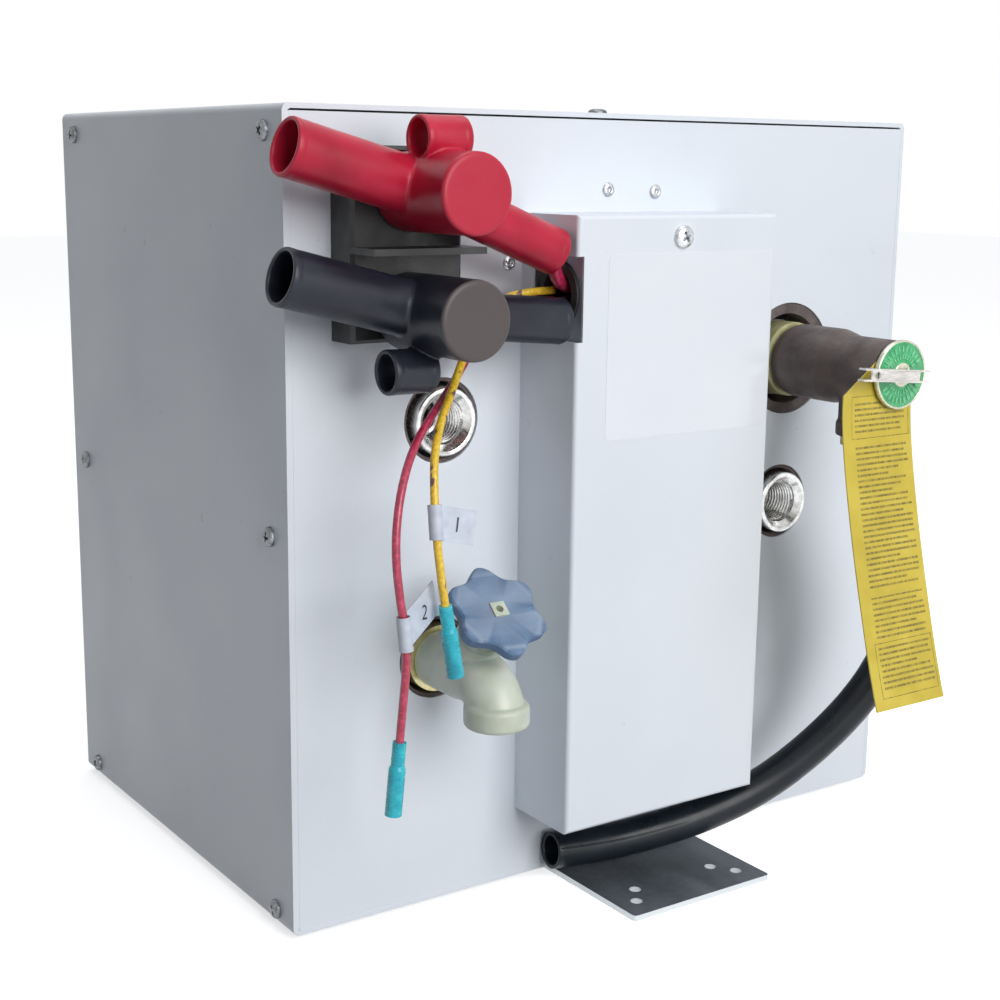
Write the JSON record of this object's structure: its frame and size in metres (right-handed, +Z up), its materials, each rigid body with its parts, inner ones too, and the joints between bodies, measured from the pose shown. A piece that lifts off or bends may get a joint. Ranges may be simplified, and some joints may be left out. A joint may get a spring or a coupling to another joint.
{
  "type": "caravan water heater",
  "caption": "Small electric storage water heater: boxed tank on a rail with pipe ports, relief valve and hose, drain tap, access cover and booted supply terminals.",
  "frame": {"origin": "centre of the box footprint on the underside of the mounting rail", "axes": "front panel with the ports faces -Y, +X to the right seen from the front, +Z up"},
  "size_m": [0.3536, 0.3873, 0.3347],
  "materials": {
    "casing_paint": "satin white powder coat",
    "zinc_fastener": "bright zinc",
    "galvanised_rail": "hot-dip galvanised",
    "tank_steel": "mill finish",
    "socket_steel": "machined",
    "foam": "cut foam",
    "brass": "machined",
    "rubber": "matte",
    "element_sheath": "nickel sheath",
    "thermostat_case": "moulded",
    "reset_red": "moulded",
    "inner_zinc": "galvanised sheet",
    "block_black": "moulded",
    "boot_red": "soft moulded",
    "boot_black": "soft moulded",
    "lead_red": "cable sleeve",
    "lead_black": "cable sleeve",
    "lead_yellow": "cable sleeve",
    "crimp_blue": "clear nylon",
    "tape_white": "tape",
    "nylon": "milky nylon",
    "knob_blue": "moulded",
    "bronze": "cast, dark",
    "cap_green": "enamel",
    "stainless": "pressed",
    "spring_steel": "drawn",
    "hose_black": "extruded",
    "card_yellow": "coated card"
  },
  "bodies": {
    "water_heater": {"access_cover": "casing_paint", "black_power_lead": "lead_black", "black_terminal_boot": "boot_black", "cable_grommet": "rubber", "casing_screws": "zinc_fastener", "casing_wrap": "casing_paint", "cold_inlet_socket": "socket_steel", "cold_inlet_tube": "socket_steel", "cover_screw": "zinc_fastener", "discharge_hose": "hose_black", "drain_body": "nylon", "drain_bonnet": "nylon", "drain_bush": "brass", "drain_socket": "socket_steel", "element_gasket": "rubber", "element_loop": "element_sheath", "element_plug": "brass", "element_socket": "socket_steel", "foam_front": "foam", "foam_rear": "foam", "front_panel": "casing_paint", "hang_tag": "card_yellow", "hose_barb": "brass", "hot_outlet_socket": "socket_steel", "hot_pickup_tube": "socket_steel", "inner_leads": "lead_black", "lead_lugs": "zinc_fastener", "mounting_rail": "galvanised_rail", "panel_rivets": "zinc_fastener", "rear_panel": "casing_paint", "red_power_lead": "lead_red", "red_switch_wire": "lead_red", "red_terminal_boot": "boot_red", "red_wire_connector": "crimp_blue", "red_wire_flag": "tape_white", "relief_body": "bronze", "relief_cap": "cap_green", "relief_nipple": "brass", "relief_socket": "socket_steel", "relief_spring": "spring_steel", "stud_nuts": "zinc_fastener", "tank_barrel": "tank_steel", "tank_front_head": "tank_steel", "tank_rear_head": "tank_steel", "terminal_block": "block_black", "terminal_studs": "zinc_fastener", "thermostat_body": "thermostat_case", "thermostat_bracket": "inner_zinc", "wiring_box": "inner_zinc", "yellow_light_wire": "lead_yellow", "yellow_wire_connector": "crimp_blue", "yellow_wire_flag": "tape_white"},
    "drain_carriage": {"drain_washer": "rubber"},
    "drain_handle": {"drain_knob": "knob_blue", "drain_spindle": "nylon"},
    "relief_lift": {"relief_stem": "brass", "lever_pin": "stainless"},
    "relief_handle": {"relief_lever": "stainless"},
    "reset": {"reset_button": "reset_red"},
    "dial": {"thermostat_dial": "thermostat_case"}
  },
  "joints": [
    {"name": "drain_lift", "type": "slide", "parent": "water_heater", "child": "drain_carriage", "axis": [0, -0.6691, 0.7431], "range_m": [0, 0.0041]},
    {"name": "drain_knob_turn", "type": "hinge", "parent": "drain_carriage", "child": "drain_handle", "pos_m": [-0.0979, -0.1331, 0.1101], "axis": [0, -0.6691, 0.7431], "range_deg": [0, 990]},
    {"name": "relief_lift", "type": "slide", "parent": "water_heater", "child": "relief_lift", "axis": [0, -1, 0], "range_m": [0, 0.00408], "stiffness_N_per_m": 2000, "deforming": ["relief_spring"]},
    {"name": "relief_lever_lift", "type": "hinge", "parent": "relief_lift", "child": "relief_handle", "pos_m": [0.0959, -0.1882, 0.2238], "axis": [0, 0, 1], "range_deg": [0, 18]},
    {"name": "reset_press", "type": "slide", "parent": "water_heater", "child": "reset", "axis": [0, 1, 0], "range_m": [0, 0.0015], "stiffness_N_per_m": 400},
    {"name": "dial_turn", "type": "hinge", "parent": "water_heater", "child": "dial", "pos_m": [-0.004, -0.1112, 0.1425], "axis": [0, -1, 0], "range_deg": [0, 270]}
  ],
  "couplings": [
    {"joint": "drain_knob_turn", "follows": "drain_lift", "rad_per_m": 4188.8},
    {"joint": "relief_lever_lift", "follows": "relief_lift", "rad_per_m": 76.9}
  ]
}
